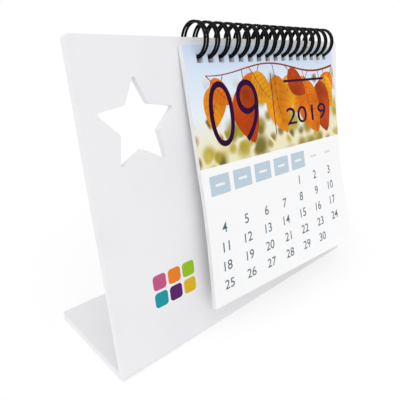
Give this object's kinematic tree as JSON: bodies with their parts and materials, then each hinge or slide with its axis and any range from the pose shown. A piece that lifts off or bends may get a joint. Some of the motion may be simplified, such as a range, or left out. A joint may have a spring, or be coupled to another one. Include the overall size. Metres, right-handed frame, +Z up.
{
  "type": "desk calendar",
  "caption": "Free-standing desk calendar: month sheets on a twin loop wire through a bent plastic stand with a star-shaped window.",
  "frame": {"origin": "middle of the overall box's bottom face, on the table", "axes": "+X along the width to the viewer's right, +Y to the back, +Z up"},
  "size_m": [0.225, 0.0844, 0.181],
  "materials": {
    "stand_plastic": "satin white",
    "wire_black": "gloss black",
    "sheet_paper": "smooth printed paper"
  },
  "bodies": {
    "stand": {"stand": "stand_plastic", "wire_binding": "wire_black"},
    "waiting_sheets": {"sheet_02": "sheet_paper", "sheet_03": "sheet_paper", "sheet_04": "sheet_paper", "sheet_05": "sheet_paper", "sheet_06": "sheet_paper", "sheet_07": "sheet_paper", "sheet_08": "sheet_paper", "sheet_09": "sheet_paper", "sheet_10": "sheet_paper", "sheet_11": "sheet_paper", "sheet_12": "sheet_paper"},
    "front_sheet": {"sheet_01": "sheet_paper"}
  },
  "joints": [
    {"name": "waiting_lift", "type": "hinge", "parent": "stand", "child": "waiting_sheets", "pos_m": [0, -0.002, 0.17109], "axis": [-1, 0, 0], "range_deg": [0, 10]},
    {"name": "front_turn", "type": "hinge", "parent": "waiting_sheets", "child": "front_sheet", "pos_m": [0, -0.002, 0.17109], "axis": [-1, 0, 0], "range_deg": [0, 195]}
  ]
}
